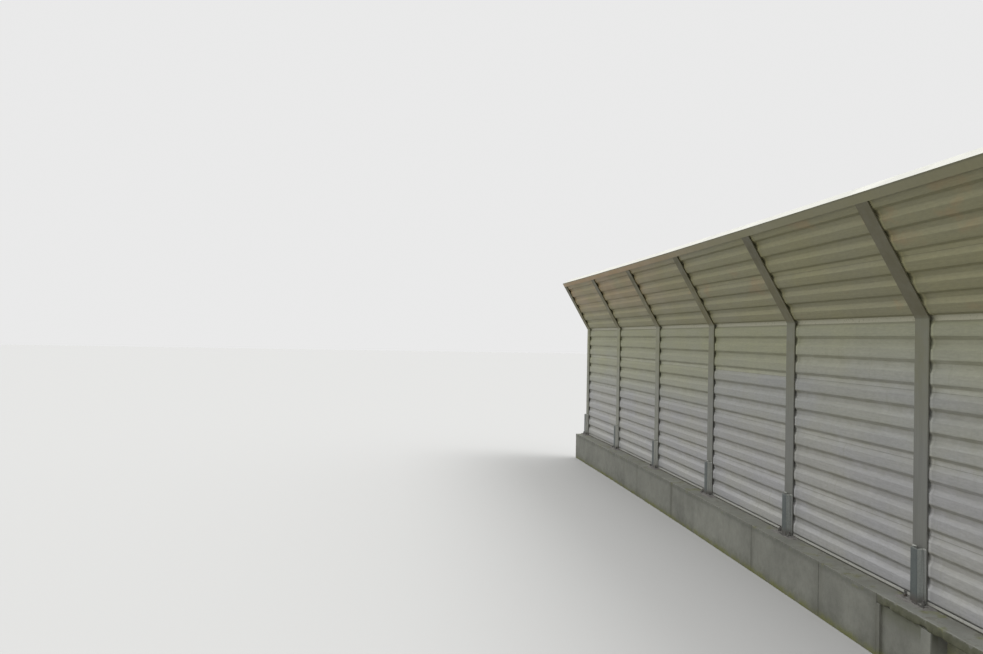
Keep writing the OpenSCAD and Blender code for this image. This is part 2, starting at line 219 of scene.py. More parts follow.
class Nodes:
    """A node tree, with short calls for the few kinds of node that the scene is made of."""

    def __init__(self, tree):
        self.tree = tree

    def feed(self, socket, value):
        """Links an output to the socket, or writes a plain value on it."""
        if isinstance(value, bpy.types.NodeSocket):
            self.tree.links.new(value, socket)
        else:
            socket.default_value = value

    def node(self, kind, inputs=(), **settings):
        made = self.tree.nodes.new(kind)
        for key, value in settings.items():
            setattr(made, key, value)
        for socket, value in dict(inputs).items():
            self.feed(made.inputs[socket], value)
        return made

    def place(self):
        return self.node("ShaderNodeTexCoord").outputs["Object"]

    def axes(self, vector):
        return self.node("ShaderNodeSeparateXYZ", {"Vector": vector}).outputs

    def normal(self):
        return self.axes(self.node("ShaderNodeNewGeometry").outputs["Normal"])

    def value(self, name):
        return self.node("ShaderNodeAttribute", attribute_name=name).outputs["Fac"]

    def vector(self, x=0.0, y=0.0, z=0.0):
        return self.node("ShaderNodeCombineXYZ", {"X": x, "Y": y, "Z": z}).outputs[0]

    def maths(self, operation, a, b=0.0):
        return self.node("ShaderNodeMath", {0: a, 1: b}, operation=operation).outputs[0]

    def plus(self, a, b):
        return self.maths("ADD", a, b)

    def minus(self, a, b):
        return self.maths("SUBTRACT", a, b)

    def larger(self, a, b):
        return self.maths("MAXIMUM", a, b)

    def times(self, *sources):
        result = sources[0]
        for source in sources[1:]:
            result = self.maths("MULTIPLY", result, source)
        return result

    def out(self, place):
        """Distance out from the curved line of the posts, towards the front of the wall."""
        x, y, _ = self.axes(place)
        bow = self.maths("DIVIDE", self.times(x, x), 2 * BAY_LEN / BAY_TURN)
        return self.minus(0.0, self.plus(y, bow))

    def band(self, source, low, high, from_value=0.0, to_value=1.0):
        """from_value where the source is below low, to_value above high, and smooth in between."""
        made = self.node(
            "ShaderNodeMapRange",
            {"Value": source, "From Min": low, "From Max": high, "To Min": from_value, "To Max": to_value},
            interpolation_type="SMOOTHSTEP",
        )
        return made.outputs[0]

    def spread(self, source, low_value, high_value):
        """The middle of a noise's range, spread smoothly over the two values."""
        return self.band(source, 0.3, 0.7, low_value, high_value)

    def noise(self, vector, scale, detail=4.0, roughness=0.55):
        """Noise at one scale, or at a scale for each axis."""
        if isinstance(scale, tuple):
            stretched = self.node("ShaderNodeVectorMath", {0: vector, 1: scale}, operation="MULTIPLY")
            vector, scale = stretched.outputs[0], 1.0
        made = self.node(
            "ShaderNodeTexNoise",
            {"Vector": vector, "Scale": scale, "Detail": detail, "Roughness": roughness},
        )
        return made.outputs["Fac"]

    def cells(self, vector, scale, output="Distance"):
        return self.node("ShaderNodeTexVoronoi", {"Vector": vector, "Scale": scale}).outputs[output]

    def ramp(self, source, stops):
        made = self.node("ShaderNodeValToRGB", {"Fac": source})
        elements = made.color_ramp.elements
        while len(elements) < len(stops):
            elements.new(0.5)
        for element, (position, colour) in zip(elements, stops):
            element.position = position
            element.color = colour
        return made.outputs["Color"]

    def by_height(self, level, top, stops):
        """The ramp of colours given at heights from 0 up to the top."""
        stops = [(height / top, colour) for height, colour in stops]
        return self.ramp(self.maths("DIVIDE", level, top), stops)

    def mix(self, factor, a, b, blend="MIX"):
        made = self.node("ShaderNodeMix", data_type="RGBA", blend_type=blend)
        for name, value in (("Factor_Float", factor), ("A_Color", a), ("B_Color", b)):
            self.feed(next(s for s in made.inputs if s.identifier == name), value)
        return next(s for s in made.outputs if s.identifier == "Result_Color")

    def scaled(self, colour, level):
        """The colour made darker where the level is under 1 and lighter where it is over 1."""
        return self.mix(1.0, colour, self.vector(level, level, level), "MULTIPLY")

    def shade(self, colour, source, dark, light):
        """The colour made darker where the source is low and lighter where it is high."""
        return self.scaled(colour, self.band(source, 0.25, 0.75, dark, light))

    def tinted(self, colour, red, green, blue):
        return self.mix(1.0, colour, (red, green, blue, 1.0), "MULTIPLY")

    def shown_directly(self):
        """1 for rays that show the background to the camera or in a reflection, 0 for light on the object."""
        path = self.node("ShaderNodeLightPath").outputs
        shown = self.larger(path["Is Camera Ray"], path["Is Glossy Ray"])
        return self.larger(shown, path["Is Transmission Ray"])


class Finish(Nodes):
    """A procedural material."""

    def __init__(self, name, metallic=0.0, specular=0.5):
        self.material = bpy.data.materials.new(name)
        self.material.use_nodes = True
        super().__init__(self.material.node_tree)
        self.sockets = self.tree.nodes["Principled BSDF"].inputs
        self.feed(self.sockets["Metallic"], metallic)
        self.feed(self.sockets["Specular IOR Level"], specular)

    def done(self, colour, roughness, *bumps):
        """The finished material. Each of the bumps is a (height, depth in metres), and they add up."""
        self.feed(self.sockets["Base Color"], colour)
        self.feed(self.sockets["Roughness"], roughness)
        normal = {}
        for height, depth in bumps:
            inputs = {"Height": height, "Strength": 1.0, "Distance": depth}
            normal = {"Normal": self.node("ShaderNodeBump", inputs | normal).outputs["Normal"]}
        for socket, output in normal.items():
            self.feed(self.sockets[socket], output)
        return self.material


def sheet_finish(name, stops, first_rib, painted_highlight, underslope_shade, rust):
    """Weathered coil coating on the ribbed sheets.

    stops give its colour by height up the sheet, painted_highlight how much paler the up-facing slopes are
    painted as a highlight, underslope_shade how far the down-facing slopes under the crests are darkened
    towards olive as painted shade, and rust how much rusty dust lies on the far bays.
    """
    f = Finish(name, specular=0.35)
    along, up, depth, from_edge = (f.value(kind) for kind in ("along", "up", "depth", "from_edge"))
    flat = f.vector(along, up, 0.0)
    blotch = f.noise(flat, (1.3, 2.2, 1), 5, 0.6)
    tint = f.noise(flat, (0.7, 1.6, 1), 3)
    streak = f.noise(flat, (1.6, 60, 1), 3)
    drip = f.noise(flat, (24, 1.1, 1), 5, 0.65)
    fleck = f.noise(flat, (13, 55, 1), 4, 0.75)
    base = f.by_height(f.plus(up, f.value("film")), max(height for height, _ in stops), stops)
    warm, cold = f.tinted(base, 1.01, 1.01, 0.97), f.tinted(base, 0.985, 0.99, 1.02)
    colour = f.mix(f.band(tint, 0.38, 0.62), warm, cold)
    colour = f.shade(colour, blotch, 0.94, 1.06)
    colour = f.shade(colour, streak, 0.95, 1.05)
    colour = f.shade(colour, fleck, 0.9, 1.1)
    colour = f.scaled(colour, f.band(along, 0.0, 3.2 * BAY_LEN, 1.09, 1.0))
    dust = f.times(
        f.band(along, 1.2 * BAY_LEN, 3.6 * BAY_LEN, rust, 0.0),
        f.band(up, 0.1, 0.8),
        f.band(tint, 0.3, 0.6, 0.3, 1.0),
    )
    dust = f.larger(dust, f.times(f.band(blotch, 0.52, 0.62), f.band(tint, 0.5, 0.6), 0.6 * rust))
    colour = f.mix(dust, colour, RUST_DUST)
    film = f.times(f.band(drip, 0.52, 0.74), f.band(blotch, 0.35, 0.7, 0.08, 0.3))
    colour = f.mix(film, colour, DRIP_FILM)
    # Painted shade: the down-facing slope under each crest is darkened towards olive
    wave = f.maths("FRACT", f.maths("DIVIDE", f.minus(up, first_rib), RIB_PITCH))
    shaded_underslope = f.band(f.maths("PINGPONG", wave, 0.5), 0.05, 0.17, underslope_shade, 0.0)
    shaded_underslope = f.times(shaded_underslope, f.band(f.noise(flat, (3.5, 9, 1), 5), 0.35, 0.65, 0.25, 1.0))
    colour = f.mix(shaded_underslope, colour, UNDERSLOPE_SHADE)
    # Painted shade just under the fold trim
    shade_under_trim = f.band(up, TRIM_FOOT - 0.025, TRIM_FOOT - 0.01, 0.0, 0.55)
    colour = f.mix(shade_under_trim, colour, TRIM_SHADE)
    # Painted highlight: the slope that leads back from the top of each crest faces up and is made paler
    slope = (UNDER_RUN / 2 + CREST_W) / RIB_PITCH
    fading = f.band(wave, slope + 0.17, slope + 0.26, 1.0, 0.3)
    lit_upslope = f.times(f.band(wave, slope - 0.03, slope + 0.05), fading)
    colour = f.scaled(colour, f.band(lit_upslope, 0.0, 1.0, 1.0, painted_highlight))
    ragged = f.plus(depth, f.spread(fleck, -0.2, 0.2))
    grime = f.times(f.band(ragged, 0.3, 0.9), f.spread(f.noise(flat, 5.0, 5), 0.0, 0.22))
    colour = f.mix(grime, colour, GROOVE_GRIME)
    # A pale strip runs along the lower edge of each lap, with a dark line at its foot that is dirt and
    # painted shadow
    colour = f.scaled(colour, f.band(from_edge, 0.035, 0.06, 1.2, 1.0))
    colour = f.mix(f.band(from_edge, 0.001, 0.005, 0.5, 0.0), colour, LAP_DIRT_AND_SHADOW)
    # Painted light: the strip beside each post, which the flange shades, is made paler
    from_post = f.maths("PINGPONG", along, BAY_LEN / 2)
    colour = f.scaled(colour, f.band(from_post, 0.09, 0.145, 1.8, 1.0))
    grain = f.noise(f.vector(along, up, depth), 420.0, 3)
    return f.done(colour, f.spread(blotch, 0.5, 0.66), (blotch, 0.0015), (grain, 0.0001))


def post_finish(name, base, film_top, far_film, head_film):
    """Grey paint with vertical streaks and an olive film that grows towards the fold and covers the head.

    film_top is the film's colour at the fold, and far_film and head_film on the head, far off and near by.
    """
    f = Finish(name, specular=0.35)
    place = f.place()
    x, _, z = f.axes(place)
    streak = f.noise(place, (55, 55, 1.6), 5, 0.6)
    patch = f.noise(place, 6.0, 5, 0.6)
    colour = f.shade(base, streak, 0.88, 1.12)
    colour = f.shade(colour, patch, 0.93, 1.06)
    far = f.band(x, -2 * BAY_LEN, BAY_LEN, 0.25, 0.0)
    film = f.plus(f.band(z, 1.7, FOLD_Z - 0.2, 0.05, 0.75), far)
    colour = f.mix(f.times(film, f.band(patch, 0.25, 0.75, 0.6, 1.0)), colour, film_top)
    colour = f.scaled(colour, f.band(x, -2 * BAY_LEN, BAY_LEN, 1.35, 0.94))
    head = f.times(f.band(z, FOLD_Z - 0.01, FOLD_Z + 0.04), f.band(patch, 0.25, 0.75, 0.85, 1.0))
    colour = f.mix(head, colour, f.mix(f.band(x, 0.0, 2 * BAY_LEN), far_film, head_film))
    # Painted shade on the upper heads of the posts, under the caps, except on the sixth and seventh posts
    under_cap = f.times(
        f.band(z, FOLD_Z + 0.45, FOLD_Z + 0.85, 0.0, 0.5),
        f.band(x, 1.2 * BAY_LEN, 1.8 * BAY_LEN, 1.0, 0.0),
    )
    colour = f.mix(under_cap, colour, CAP_SHADE)
    specks = f.band(f.cells(place, 60.0), 0.02, 0.09, 0.6, 0.0)
    specks = f.times(specks, f.band(f.noise(place, 9.0, 2), 0.55, 0.7))
    colour = f.mix(specks, colour, RUST_SPECK)
    grain = f.noise(place, 500.0, 3)
    return f.done(colour, f.spread(patch, 0.5, 0.68), (patch, 0.0008), (grain, 0.0002))


def cap_finish():
    """Coated cap: an olive film on the faces that look down, the faces that look up painted pale as a
    highlight, and a painted shadow line near the top edge.
    """
    f = Finish("cap_coating", specular=0.35)
    place = f.place()
    x, _, z = f.axes(place)
    drip = f.noise(place, (22, 4, 4), 5, 0.65)
    patch = f.noise(place, 2.2, 5, 0.6)
    far = f.band(x, -1.6 * BAY_LEN, 1.2 * BAY_LEN, 1.0, 0.0)
    under = f.shade(f.mix(far, CAP_UNDER, CAP_FAR), drip, 0.95, 1.04)
    # A painted shadow line just below the top edge
    edge_z = FOLD_Z + HEAD_LEN * math.cos(HEAD_LEAN)
    under = f.mix(f.band(z, edge_z - 0.02, edge_z - 0.008, 0.0, 0.75), under, CAP_EDGE_SHADE)
    # Painted light: faces that look up get the pale top colour, those that look down the darker one
    painted_highlight = f.shade(CAP_TOP_LIT, drip, 0.94, 1.03)
    colour = f.mix(f.band(f.normal()[2], -0.1, 0.8), under, painted_highlight)
    colour = f.shade(colour, patch, 0.94, 1.05)
    return f.done(colour, f.spread(patch, 0.45, 0.6), (patch, 0.0015))


def strip_finish(name, base, dirt):
    """Pale coated strip with dirt in patches and short drips."""
    f = Finish(name, specular=0.4)
    place = f.place()
    patch = f.noise(place, (3, 3, 12), 5, 0.65)
    fine = f.noise(place, 40.0, 4, 0.6)
    colour = f.shade(base, patch, 0.9, 1.05)
    stain = f.times(f.band(fine, 0.52, 0.7), f.band(patch, 0.4, 0.65, 0.15, 0.7))
    colour = f.mix(stain, colour, dirt)
    return f.done(colour, f.spread(patch, 0.45, 0.65), (fine, 0.0004))


def zinc_finish(name, front, lip, side):
    """Dull galvanised steel: spangle, run marks, a bright upper rim, a dirty foot, and painted light that
    makes the side faces pale and the channel's front dark.
    """
    f = Finish(name, metallic=0.35, specular=0.4)
    place = f.place()
    x, _, z = f.axes(place)
    # Painted light: side faces pale and the channel's front face dark, as the light falls on them
    ahead = f.band(f.normal()[1], -0.7, -0.3, 1.0, 0.0)
    far = f.band(x, -BAY_LEN, 1.1 * BAY_LEN, 1.0, 0.0)
    base = f.mix(ahead, f.mix(far, side, ZINC_FAR_SIDE_LIT), f.mix(far, lip, ZINC_FAR_LIP))
    base = f.mix(f.times(ahead, f.band(f.out(place), 0.13, 0.15)), base, front)
    spangle = f.node("ShaderNodeSeparateColor", {"Color": f.cells(place, 90.0, "Color")}).outputs[0]
    run = f.noise(place, (90, 90, 1.8), 5, 0.6)
    patch = f.noise(place, 9.0, 5, 0.6)
    colour = f.shade(base, spangle, 0.95, 1.05)
    colour = f.shade(colour, run, 0.8, 1.2)
    rim = f.times(f.band(z, SHOE_TOP - 0.014, SHOE_TOP - 0.005), f.band(f.out(place), 0.14, 0.158, 0.8, 0.15))
    colour = f.mix(rim, colour, ZINC_RIM)
    stain = f.times(f.band(z, PLATE_TOP, PLATE_TOP + 0.1, 0.7, 0.0), f.band(patch, 0.3, 0.6, 0.4, 1.0))
    colour = f.mix(stain, colour, ZINC_FOOT)
    return f.done(colour, f.spread(run, 0.45, 0.65), (patch, 0.0008), (run, 0.0003))


def rust_finish(name, clean, rust, amount):
    """Steel that rusts through what is left of its coating."""
    f = Finish(name, metallic=0.2, specular=0.3)
    place = f.place()
    patch = f.noise(place, 28.0, 6, 0.65)
    fine = f.noise(place, 160.0, 5, 0.65)
    colour = f.mix(f.band(patch, 0.62 - amount, 0.75 - amount), clean, rust)
    colour = f.shade(colour, fine, 0.7, 1.2)
    return f.done(colour, f.spread(patch, 0.6, 0.85), (patch, 0.001), (fine, 0.0006))


def concrete_finish(name, face, ledge, foot_moss, edge_moss):
    """Cast concrete: cloudy grey, drips below the ledge, pits, and moss at its foot and edges.

    face gives its colour by height, and ledge its colours near the wall and at the edge.
    """
    f = Finish(name, specular=0.25)
    place = f.place()
    x, _, z = f.axes(place)
    out = f.out(place)
    _, facing, tilt = f.normal()
    face_up = f.band(tilt, 0.4, 0.8)
    face_side = f.band(tilt, 0.4, 0.8, 1.0, 0.0)
    cloud = f.noise(place, 1.3, 6, 0.6)
    patches = f.noise(place, 4.5, 5, 0.6)
    mottle = f.noise(place, 12.0, 6, 0.66)
    grain = f.noise(place, 150.0, 4, 0.7)
    stains = f.noise(place, (4, 4, 0.8), 5, 0.6)
    drips = f.noise(place, (13, 13, 1.1), 6, 0.68)
    wash = f.noise(place, (2.0, 2.0, 1.6), 5, 0.62)
    from_joint = 1.0
    for chain in JOINTS:
        off = f.maths("ABSOLUTE", f.minus(x, chain - MID * BAY_LEN))
        from_joint = f.maths("MINIMUM", from_joint, off)
    level = f.plus(z, f.spread(mottle, -0.025, 0.025))
    side = f.by_height(level, PLINTH_TOP, face)
    # The wall that stands back under the coping has an olive film
    recess = f.times(
        f.band(facing, -0.9, -0.7, 1.0, 0.0),
        f.band(out, 0.1, 0.14),
        f.band(out, 0.18, 0.24, 1.0, 0.0),
        f.band(patches, 0.35, 0.62, 0.35, 0.85),
    )
    side = f.mix(recess, side, RECESS_FILM)
    top = f.mix(f.band(f.plus(out, f.spread(mottle, -0.02, 0.02)), 0.11, 0.19), *ledge)
    colour = f.mix(face_up, side, top)
    colour = f.shade(colour, cloud, 0.9, 1.08)
    colour = f.shade(colour, wash, 0.86, 1.13)
    colour = f.shade(colour, patches, 0.93, 1.05)
    colour = f.shade(colour, mottle, 0.92, 1.07)
    colour = f.shade(colour, grain, 0.9, 1.1)
    # Dirt runs down from the ledge and lies beside the pour joints; under the lip of the coping the pier is
    # darkened as painted shade
    drip = f.times(
        face_side,
        f.band(drips, 0.54, 0.66),
        f.band(stains, 0.53, 0.66),
        f.band(z, 0.1, PLINTH_TOP, 0.1, 0.7),
    )
    halo = f.times(face_side, f.band(from_joint, 0.0, 0.13, 0.55, 0.0), f.band(stains, 0.35, 0.6, 0.35, 1.0))
    colour = f.mix(f.larger(drip, halo), colour, DRIP_DIRT)
    # Painted shade on the pier under the lip of the coping
    shade_under_lip = f.times(
        face_side,
        f.band(out, 0.24, 0.26),
        f.band(out, 0.297, 0.306, 1.0, 0.0),
        f.band(level, 0.3, 0.46, 0.0, 0.65),
    )
    colour = f.mix(shade_under_lip, colour, LIP_SHADE)
    foot = f.band(f.plus(z, f.times(mottle, -0.12)), -0.05, 0.03, 1.0, 0.0)
    foot = f.times(face_side, foot, f.band(patches, 0.38, 0.56, 0.25, 0.9), foot_moss)
    rim = f.band(f.plus(z, f.times(mottle, 0.05)), PLINTH_TOP - 0.05, PLINTH_TOP + 0.01)
    rim = f.times(rim, f.band(patches, 0.52, 0.62), f.band(mottle, 0.4, 0.6), edge_moss)
    moss = f.mix(f.band(grain, 0.35, 0.65), MOSS_DARK, MOSS_PALE)
    colour = f.mix(f.larger(foot, rim), colour, moss)
    ledge_dirt = f.times(face_up, f.band(mottle, 0.5, 0.62), f.band(wash, 0.4, 0.6, 0.2, 0.6))
    colour = f.mix(ledge_dirt, colour, LEDGE_DIRT)
    lichen = f.times(face_up, f.band(patches, 0.55, 0.62), f.band(grain, 0.3, 0.6, 0.3, 0.7), edge_moss)
    colour = f.mix(lichen, colour, LICHEN)
    pits = f.band(f.cells(place, 30.0), 0.04, 0.13, 1.0, 0.0)
    pits = f.times(pits, f.band(f.noise(place, 6.0, 2), 0.56, 0.64))
    colour = f.mix(f.times(pits, 0.7), colour, PIT)
    sunk = f.minus(0.0, pits)
    rough = f.spread(cloud, 0.85, 0.95)
    return f.done(colour, rough, (patches, 0.004), (mottle, 0.003), (grain, 0.0009), (sunk, 0.003))


def mortar_finish():
    """Rough grey mortar round the feet of the posts."""
    f = Finish("mortar", specular=0.2)
    place = f.place()
    patch = f.noise(place, 18.0, 6, 0.65)
    grain = f.noise(place, 190.0, 5, 0.7)
    stops = [(0.3, srgb(88, 86, 84)), (0.55, srgb(112, 110, 106)), (0.75, srgb(134, 132, 126))]
    colour = f.ramp(patch, stops)
    colour = f.shade(colour, grain, 0.85, 1.12)
    return f.done(colour, 0.92, (patch, 0.004), (grain, 0.0012))


def filler_finish(name, base):
    """Dusty black filler or foam: matt, with pale dirt in patches."""
    f = Finish(name, specular=0.3)
    place = f.place()
    patch = f.noise(place, 24.0, 5, 0.65)
    grain = f.noise(place, 260.0, 4, 0.7)
    colour = f.mix(f.band(patch, 0.5, 0.7, 0.0, 0.4), base, FILLER_DUST)
    colour = f.shade(colour, grain, 0.85, 1.12)
    return f.done(colour, f.spread(patch, 0.75, 0.9), (patch, 0.001), (grain, 0.0004))


def tube_sides(steps, n, flip=False):
    """Faces between rings of n vertices, each joined to the next. flip turns them the other way round."""
    faces = []
    for i in range(steps):
        for k in range(n):
            a, b = i * n + k, i * n + (k + 1) % n
            faces.append([a, a + n, b + n, b] if flip else [a, b, b + n, a + n])
    return faces


def tube(steps, n, flip=False):
    """The faces of tube_sides and one at each end."""
    ends = [list(reversed(range(n))), [steps * n + k for k in range(n)]]
    return tube_sides(steps, n, flip) + ([end[::-1] for end in ends] if flip else ends)


def ring_spots(radius, sides, turn=0.0):
    angles = [turn + 2 * math.pi * k / sides for k in range(sides)]
    return [(radius * math.cos(a), radius * math.sin(a)) for a in angles]


class Shape:
    """Vertices, faces and point values of one piece, gathered part by part."""

    def __init__(self):
        self.verts = []
        self.faces = []
        self.values = {}

    def add(self, verts, faces, place=Matrix(), **values):
        """Adds a part. Each of the values is a list with one number a vertex."""
        start = len(self.verts)
        self.verts += [place @ Vector(v) for v in verts]
        self.faces += [[start + i for i in face] for face in faces]
        for name, row in values.items():
            self.values.setdefault(name, []).extend(row)

    def prism(self, outline, low, high, place=Matrix()):
        """An outline in X and Y, carried from z low to high. The outline turns anticlockwise."""
        verts = [(x, y, z) for z in (low, high) for x, y in outline]
        self.add(verts, tube(1, len(outline)), place)

    def turned(self, profile, sides, place=Matrix(), turn=0.0):
        """A profile of (radius, z) turned about Z, from its foot to its top, closed at both ends."""
        verts = [(x, y, z) for radius, z in profile for x, y in ring_spots(radius, sides, turn)]
        self.add(verts, tube(len(profile) - 1, sides), place)

    def bead(self, start, end, radius, place=Matrix(), ripple=0.006):
        """A rippled weld bead along a straight line, thin at both ends."""
        start, end = Vector(start), Vector(end)
        line = end - start
        count = max(4, round(line.length / (ripple / 2)))
        side = line.orthogonal().normalized()
        other = line.cross(side).normalized()
        sides = 6
        verts = []
        for i in range(count + 1):
            swell = radius * (1.0 + 0.22 * (i % 2) + random.uniform(-0.08, 0.08))
            if i in (0, count):
                swell *= 0.4
            centre = start + line * (i / count)
            verts += [centre + side * a + other * b for a, b in ring_spots(swell, sides)]
        self.add(verts, tube(count, sides), place)

    def piece(self, name, material, smooth_below):
        """Makes the object, which rides on the wall. Edges sharper than smooth_below degrees stay sharp."""
        mesh = bpy.data.meshes.new(name)
        mesh.from_pydata(self.verts, [], self.faces)
        for value_name, row in self.values.items():
            mesh.attributes.new(value_name, "FLOAT", "POINT").data.foreach_set("value", row)
        mesh.shade_smooth()
        mesh.set_sharp_from_angle(angle=math.radians(smooth_below))
        mesh.materials.append(material)
        obj = bpy.data.objects.new(name, mesh)
        bpy.context.scene.collection.objects.link(obj)
        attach(obj, "root")
        return obj


def rib_corners(z0, z1, rib_z):
    """Corners (depth, height) of the sheet's front face from height z0 to z1."""
    bends = []
    for n in range(math.floor((z0 - rib_z) / RIB_PITCH) - 1, math.ceil((z1 - rib_z) / RIB_PITCH) + 2):
        foot = rib_z + n * RIB_PITCH
        bends += [
            (RIB_DEPTH, foot - UNDER_RUN / 2),
            (0.0, foot + UNDER_RUN / 2),
            (0.0, foot + UNDER_RUN / 2 + CREST_W),
            (RIB_DEPTH, foot + UNDER_RUN / 2 + CREST_W + UP_RUN),
        ]

    def at(z):
        for (d0, h0), (d1, h1) in zip(bends, bends[1:]):
            if h0 <= z <= h1:
                return (d0 + (d1 - d0) * (z - h0) / (h1 - h0), z)

    return [at(z0)] + [b for b in bends if z0 + BEND_RADIUS < b[1] < z1 - BEND_RADIUS] + [at(z1)]


def rounded(corners, radius, steps):
    """The corners as an open line with an arc at each bend."""
    line = [Vector(corners[0])]
    for before, corner, after in zip(corners, corners[1:], corners[2:]):
        corner = Vector(corner)
        back = (Vector(before) - corner).normalized()
        on = (Vector(after) - corner).normalized()
        half = back.angle(on) / 2
        centre = corner + (back + on).normalized() * (radius / math.sin(half))
        first = corner + back * (radius / math.tan(half)) - centre
        last = corner + on * (radius / math.tan(half)) - centre
        for k in range(steps + 1):
            line.append(centre + first.slerp(last, k / steps) * radius)
    line.append(Vector(corners[-1]))
    return line


def divided(line, longest):
    """The line with extra points, so that no stretch is longer than that."""
    result = [line[0]]
    for a, b in zip(line, line[1:]):
        parts = max(1, math.ceil((b - a).length / longest))
        result += [a.lerp(b, k / parts) for k in range(1, parts + 1)]
    return result


def offset_line(line, distance):
    """The line moved towards greater depth, square to itself."""
    result = []
    for i, point in enumerate(line):
        run = (line[min(i + 1, len(line) - 1)] - line[max(i - 1, 0)]).normalized()
        result.append(point + Vector((run.y, -run.x)) * distance)
    return result


def film_shift(bay, order):
    """How much lower the olive film reaches on one rolled width: further on the upper ones at the far end."""
    far = (BAYS - 1 - bay) / (BAYS - 1)
    grown = order >= 2 and far > 0.9 - 0.2 * order
    return (0.27 * (4 - order) if grown else 0.0) + random.uniform(-0.04, 0.04)


def add_sheet(shape, bay, z0, z1, rib_z, leaf, up_from, lapped, film):
    """One rolled width of sheet, from z0 to z1 up its leaf. A lapped one is in front at its lower edge."""
    front = divided(rounded(rib_corners(z0, z1, rib_z), BEND_RADIUS, BEND_STEPS), LONGEST_STEP)
    lift = [LAP_LIFT * max(0.0, 1 - (p.y - z0) / (RIB_PITCH / 2)) if lapped else 0.0 for p in front]
    front = [Vector((p.x - d, p.y)) for p, d in zip(front, lift)]
    outline = front + list(reversed(offset_line(front, SHEET_T)))
    n = len(outline)
    last = STATIONS - 1
    seed = random.uniform(0, 50)
    verts, along, up, depth, from_edge = [], [], [], [], []
    for i in range(STATIONS):
        x = SHEET_END + SHEET_LEN * i / last
        ends = min(1.0, 6 * min(i, last - i) / last)
        for p in outline:
            wave = noise.noise(Vector((x * 1.6, p.y * 4.0, seed))) * WAVINESS * ends
            verts.append((x, p.x + wave, p.y))
            along.append(bay * BAY_LEN + x)
            up.append(p.y - up_from)
            depth.append(min(1.0, max(0.0, p.x / RIB_DEPTH)))
            from_edge.append(p.y - z0 if lapped else 1.0)
    faces = tube_sides(last, n, flip=True)
    end = last * n
    for k in range(len(front) - 1):
        faces.append([k, k + 1, n - 2 - k, n - 1 - k])
        faces.append([end + n - 1 - k, end + n - 2 - k, end + k + 1, end + k])
    film_row = [film] * len(verts)
    shape.add(verts, faces, leaf, along=along, up=up, depth=depth, from_edge=from_edge, film=film_row)


def add_panels(shape, bay, z0, z1, rib_z, leaf, up_from, seam):
    """A leaf of sheet as the rolled panels that it comes in, lapped like tiles in every third groove."""
    seams = []
    while seam < z1 - RIB_PITCH:
        if seam > z0 + RIB_PITCH:
            seams.append(seam)
        seam += RIBS_A_PANEL * RIB_PITCH
    for order, (low, high) in enumerate(zip([z0] + seams, seams + [z1])):
        film = film_shift(bay, order)
        add_sheet(shape, bay, low, min(z1, high + LAP_COVER), rib_z, leaf, up_from, low > z0, film)


def ribbed_sheets(wall_coat, head_coat):
    """The sheets between the posts, in place of the plain ones."""
    wall_seam = WALL_RIB_Z - 8 * RIB_PITCH - LAP_BELOW_RIB
    head_seam = HEAD_RIB_S + 3 * RIB_PITCH - LAP_BELOW_RIB
    for bay in range(BAYS):
        leaf = bay_frame(bay) @ Matrix.Translation((0, CREST_Y, 0))
        shape = Shape()
        add_panels(shape, bay, WALL_FOOT, WALL_TOP, WALL_RIB_Z, leaf, PLINTH_TOP, wall_seam)
        wall = shape.piece(f"ribbed_wall_{bay + 1}", wall_coat, 35)
        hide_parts(f"wall_sheet_{bay + 1}")
        leaf = bay_frame(bay) @ HEAD @ Matrix.Translation((0, SHEET_SETBACK, 0))
        shape = Shape()
        add_panels(shape, bay, 0.0, HEAD_LEN - CAP_T, HEAD_RIB_S, leaf, 0.0, head_seam)
        head = shape.piece(f"ribbed_head_{bay + 1}", head_coat, 35)
        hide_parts(f"head_sheet_{bay + 1}")


def shoe_outline():
    """Plan of a hat-shaped shoe, anticlockwise: a bent channel between two lips that lie on the flange."""
    def face(half, back, front, radius):
        steps = 6
        line = [(-half, back)]
        for k in range(steps + 1):
            a = math.pi / 2 * k / steps
            line.append((-half + radius * (1 - math.cos(a)), front + radius * (1 - math.sin(a))))
        return line + [(-x, y) for x, y in reversed(line)]

    lip_y = FRONT_Y - SHOE_LIP_T
    left, right = -SHOE_REACH - SHOE_SHIFT, SHOE_REACH - SHOE_SHIFT
    outer = face(SHOE_W / 2, lip_y, FRONT_Y - SHOE_D, SHOE_R)
    inner = face(SHOE_W / 2 - SHOE_T, FRONT_Y, FRONT_Y - SHOE_D + SHOE_T, SHOE_R - SHOE_T)
    left_lip = [(left, FRONT_Y), (left, lip_y)]
    right_lip = [(right, lip_y), (right, FRONT_Y)]
    return left_lip + outer + right_lip + list(reversed(inner))


def post_shoes(zinc):
    for j in range(BAYS + 1):
        place = post_frame(j) @ Matrix.Translation((SHOE_SHIFT, 0, 0))
        shape = Shape()
        shape.prism(shoe_outline(), PLATE_TOP, SHOE_TOP, place)
        shoe = shape.piece(f"bent_shoe_{j + 1}", zinc, 30)
        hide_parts(f"shoe_{j + 1}")


